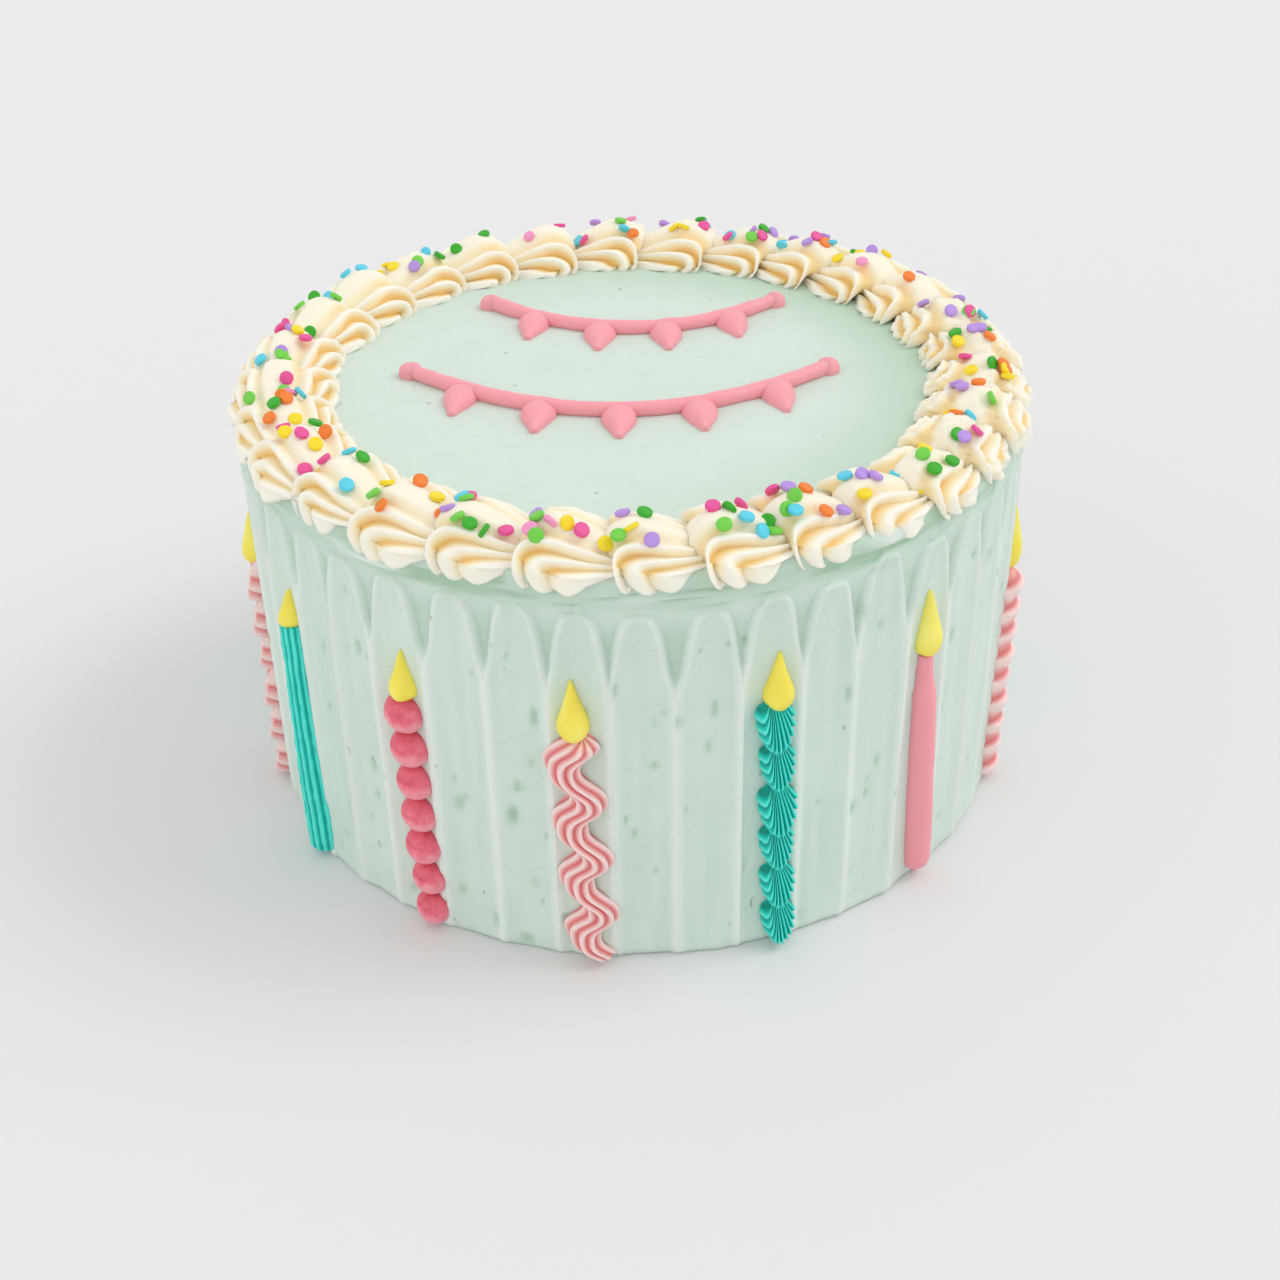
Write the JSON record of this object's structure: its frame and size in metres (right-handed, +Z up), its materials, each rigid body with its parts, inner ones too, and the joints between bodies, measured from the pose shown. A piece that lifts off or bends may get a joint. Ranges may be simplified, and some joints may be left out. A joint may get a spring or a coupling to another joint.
{
  "type": "birthday cake",
  "caption": "Tall round birthday cake in mint buttercream with a piped shell border, confetti sprinkles, and candles and garlands piped in icing.",
  "frame": {"origin": "centre of the flat underside, on the surface the cake stands on", "axes": "+Z up; -Y is the front, the side that shows the ridged pink zigzag candle; +X is to the right seen from the front"},
  "size_m": [0.2158, 0.2211, 0.1251],
  "materials": {
    "mint_icing": "smooth mint green buttercream with a soft satin sheen, palette-knife strokes and small air bubbles",
    "cream_icing": "soft cream buttercream piped through a star tip, satin, with confetti sprinkles in many colours pressed in",
    "coral_icing": "smooth coral pink piped icing, satin",
    "blush_icing": "pale pink piped icing, satin",
    "teal_icing": "teal piped icing, satin",
    "yellow_icing": "lemon yellow piped icing, satin",
    "rose_icing": "rose pink piped icing, satin"
  },
  "bodies": {
    "root": {"cake_body": "mint_icing", "piped_border": "cream_icing", "candle_01_stick": "blush_icing", "candle_01_flame": "yellow_icing", "candle_02_stick": "teal_icing", "candle_02_flame": "yellow_icing", "candle_03_stick": "coral_icing", "candle_03_flame": "yellow_icing", "candle_04_stick": "blush_icing", "candle_04_flame": "yellow_icing", "candle_05_stick": "teal_icing", "candle_05_flame": "yellow_icing", "candle_06_stick": "coral_icing", "candle_06_flame": "yellow_icing", "candle_07_stick": "blush_icing", "candle_07_flame": "yellow_icing", "candle_08_stick": "teal_icing", "candle_08_flame": "yellow_icing", "candle_09_stick": "coral_icing", "candle_09_flame": "yellow_icing", "candle_10_stick": "blush_icing", "candle_10_flame": "yellow_icing", "candle_11_stick": "teal_icing", "candle_11_flame": "yellow_icing", "candle_12_stick": "coral_icing", "candle_12_flame": "yellow_icing", "candle_13_stick": "blush_icing", "candle_13_flame": "yellow_icing", "candle_14_stick": "teal_icing", "candle_14_flame": "yellow_icing", "garland_back": "rose_icing", "garland_front": "rose_icing"}
  },
  "joints": []
}
